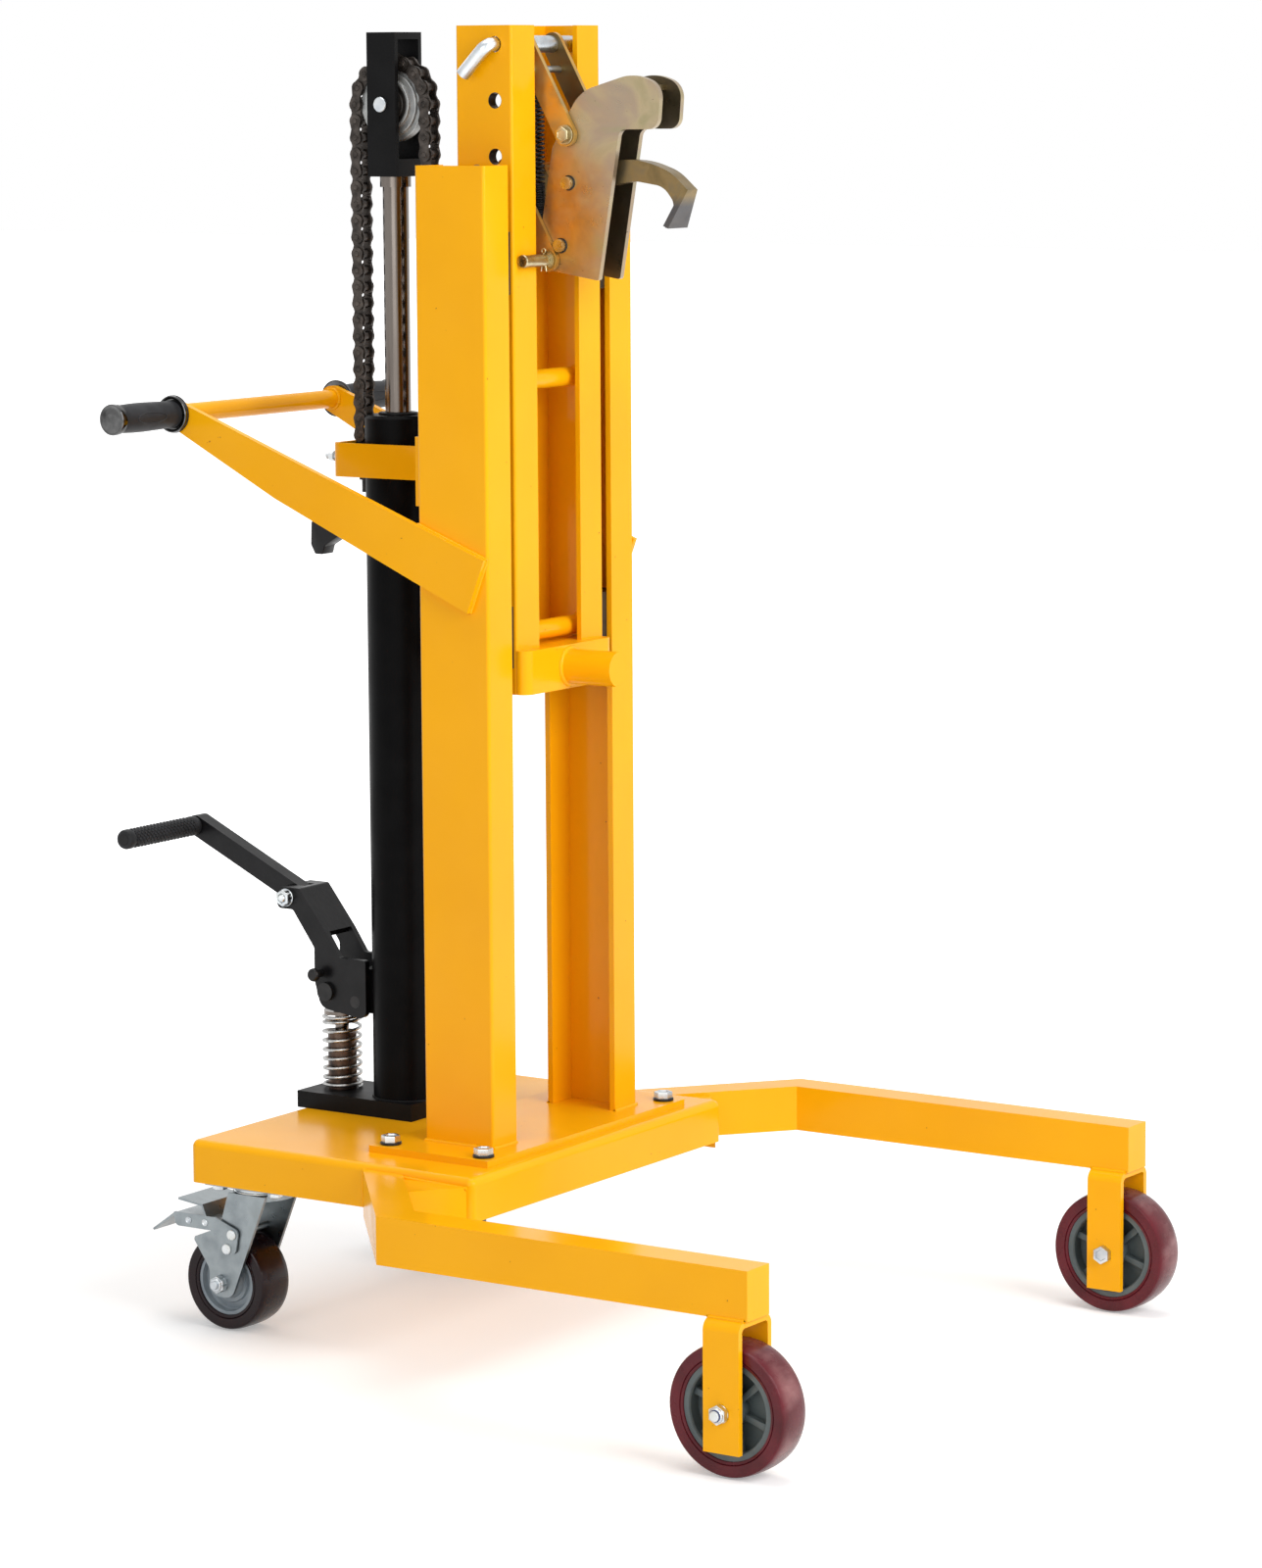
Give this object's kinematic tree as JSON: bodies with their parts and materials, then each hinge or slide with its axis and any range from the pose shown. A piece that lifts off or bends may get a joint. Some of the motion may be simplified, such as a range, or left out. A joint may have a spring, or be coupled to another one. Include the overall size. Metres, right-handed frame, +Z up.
{
  "type": "drum trolley",
  "caption": "Hand-pushed trolley with splayed legs, a foot-pumped hydraulic mast and a chain-lifted carriage whose beak gripper holds a drum by its rim",
  "frame": {"origin": "on the floor, below the middle of the outer box", "axes": "+X forward to the drum side, +Y to the left, +Z up"},
  "size_m": [1.1122, 0.9196, 1.498],
  "materials": {
    "frame_paint": "gloss orange-yellow paint",
    "black_paint": "satin black paint",
    "ram_steel": "ground and chromed rod",
    "zinc_steel": "bright zinc plate",
    "gold_zinc": "yellow passivated zinc plate",
    "chain_steel": "oiled dark steel",
    "spring_steel": "drawn spring wire",
    "grip_rubber": "matt black rubber",
    "grip_chrome": "polished chrome plate",
    "wheel_tread": "maroon polyurethane",
    "front_hub": "dark grey moulded plastic",
    "castor_hub": "light blue-grey moulded plastic",
    "slide_pad": "dark nylon",
    "sheave_grey": "grey machined steel"
  },
  "bodies": {
    "chassis": {"deck_tray": "frame_paint", "leg_left": "frame_paint", "leg_right": "frame_paint", "base_plate": "frame_paint", "frame_bolts": "zinc_steel", "mast_left": "frame_paint", "mast_right": "frame_paint", "mast_tie": "frame_paint", "handle_arms": "frame_paint", "handle_bar": "frame_paint", "hand_grips": "grip_rubber", "grip_trims": "grip_chrome", "cylinder_strap": "frame_paint", "chain_anchor": "zinc_steel", "chain_rear": "chain_steel", "pump_block": "black_paint", "cylinder_tube": "black_paint", "cylinder_gland": "black_paint", "pump_barrel": "black_paint", "pump_spring": "spring_steel", "front_forks": "frame_paint", "front_axles": "zinc_steel", "castor_plates": "zinc_steel"},
    "ram": {"ram_rod": "ram_steel", "sheave_bracket": "black_paint", "sheave_pin": "zinc_steel", "chain_wrap": "chain_steel"},
    "sheave": {"sheave": "sheave_grey"},
    "carriage": {"carriage_uprights": "frame_paint", "carriage_bars": "frame_paint", "carriage_block": "frame_paint", "belly_rest": "frame_paint", "carriage_pads": "slide_pad", "chain_front": "chain_steel"},
    "upper_links": {"upper_links": "gold_zinc", "spring_bolt": "zinc_steel", "gripper_spring": "spring_steel"},
    "lower_links": {"lower_links": "gold_zinc"},
    "head": {"beak_plates": "gold_zinc", "beak_pins": "gold_zinc"},
    "jaw": {"jaw": "gold_zinc"},
    "lock_pin": {"lock_pin": "zinc_steel"},
    "pump_lever": {"lever_casting": "black_paint", "lever_pins": "zinc_steel"},
    "plunger": {"plunger": "ram_steel"},
    "pedal": {"pedal_arm": "black_paint", "pedal_grip": "grip_rubber"},
    "release_lever": {"release_lever": "black_paint"},
    "front_wheel_left": {"front_hub_left": "front_hub", "front_tyre_left": "wheel_tread"},
    "castor_left": {"castor_fork_left": "zinc_steel"},
    "castor_wheel_left": {"castor_hub_left": "castor_hub", "castor_tyre_left": "wheel_tread"},
    "brake_left": {"brake_left": "zinc_steel"},
    "front_wheel_right": {"front_hub_right": "front_hub", "front_tyre_right": "wheel_tread"},
    "castor_right": {"castor_fork_right": "zinc_steel"},
    "castor_wheel_right": {"castor_hub_right": "castor_hub", "castor_tyre_right": "wheel_tread"},
    "brake_right": {"brake_right": "zinc_steel"}
  },
  "joints": [
    {"name": "ram_lift", "type": "slide", "parent": "chassis", "child": "ram", "axis": [0, 0, 1], "range_m": [-0.25, 0], "deforming": ["chain_rear", "chain_front"]},
    {"name": "sheave_turn", "type": "hinge", "parent": "ram", "child": "sheave", "pos_m": [-0.241, 0, 1.41], "axis": [0, -1, 0], "range_deg": [-300, 0]},
    {"name": "carriage_lift", "type": "slide", "parent": "ram", "child": "carriage", "axis": [0, 0, 1], "range_m": [-0.25, 0]},
    {"name": "link_swing", "type": "hinge", "parent": "carriage", "child": "upper_links", "pos_m": [-0.039, 0, 1.477], "axis": [0, -1, 0], "range_deg": [0, 30], "deforming": ["gripper_spring"]},
    {"name": "head_level", "type": "hinge", "parent": "upper_links", "child": "head", "pos_m": [0.0168, 0, 1.3765], "axis": [0, -1, 0], "range_deg": [-30, 0]},
    {"name": "lower_swing", "type": "hinge", "parent": "carriage", "child": "lower_links", "pos_m": [-0.0645, 0, 1.3375], "axis": [0, -1, 0], "range_deg": [0, 30]},
    {"name": "jaw_open", "type": "hinge", "parent": "head", "child": "jaw", "pos_m": [0.017, 0, 1.323], "axis": [0, -1, 0], "range_deg": [0, 25]},
    {"name": "pin_pull", "type": "slide", "parent": "carriage", "child": "lock_pin", "axis": [0, -1, 0], "range_m": [0, 0.2]},
    {"name": "pump_stroke", "type": "hinge", "parent": "chassis", "child": "pump_lever", "pos_m": [-0.294, 0, 0.361], "axis": [0, -1, 0], "range_deg": [0, 25], "stiffness_Nm_per_rad": 30, "springref_deg": -17.19},
    {"name": "plunger_stroke", "type": "slide", "parent": "chassis", "child": "plunger", "axis": [0, 0, 1], "range_m": [-0.0186, 0], "deforming": ["pump_spring"]},
    {"name": "pedal_fold", "type": "hinge", "parent": "pump_lever", "child": "pedal", "pos_m": [-0.393, 0, 0.478], "axis": [0, 1, 0], "range_deg": [0, 60]},
    {"name": "release_pull", "type": "hinge", "parent": "chassis", "child": "release_lever", "pos_m": [-0.291, 0, 0.94], "axis": [0, 1, 0], "range_deg": [0, 20], "stiffness_Nm_per_rad": 2, "springref_deg": -11.46},
    {"name": "front_wheel_roll_left", "type": "hinge", "parent": "chassis", "child": "front_wheel_left", "pos_m": [0.484, 0.417, 0.072], "axis": [0, 1, 0], "continuous": true},
    {"name": "castor_swivel_left", "type": "hinge", "parent": "chassis", "child": "castor_left", "pos_m": [-0.301, 0.2, 0.16], "axis": [0, 0, 1], "continuous": true},
    {"name": "castor_wheel_roll_left", "type": "hinge", "parent": "castor_left", "child": "castor_wheel_left", "pos_m": [-0.341, 0.2, 0.0575], "axis": [0, 1, 0], "continuous": true},
    {"name": "brake_press_left", "type": "hinge", "parent": "castor_left", "child": "brake_left", "pos_m": [-0.321, 0.2, 0.118], "axis": [0, -1, 0], "range_deg": [0, 12]},
    {"name": "front_wheel_roll_right", "type": "hinge", "parent": "chassis", "child": "front_wheel_right", "pos_m": [0.484, -0.417, 0.072], "axis": [0, 1, 0], "continuous": true},
    {"name": "castor_swivel_right", "type": "hinge", "parent": "chassis", "child": "castor_right", "pos_m": [-0.301, -0.2, 0.16], "axis": [0, 0, 1], "continuous": true},
    {"name": "castor_wheel_roll_right", "type": "hinge", "parent": "castor_right", "child": "castor_wheel_right", "pos_m": [-0.341, -0.2, 0.0575], "axis": [0, 1, 0], "continuous": true},
    {"name": "brake_press_right", "type": "hinge", "parent": "castor_right", "child": "brake_right", "pos_m": [-0.321, -0.2, 0.118], "axis": [0, -1, 0], "range_deg": [0, 12]}
  ],
  "couplings": [
    {"joint": "sheave_turn", "follows": "ram_lift", "rad_per_m": 20.482},
    {"joint": "carriage_lift", "follows": "ram_lift", "ratio": 1},
    {"joint": "head_level", "follows": "link_swing", "ratio": -1},
    {"joint": "lower_swing", "follows": "link_swing", "ratio": 1},
    {"joint": "plunger_stroke", "follows": "pump_stroke", "m_per_rad": -0.0418}
  ]
}
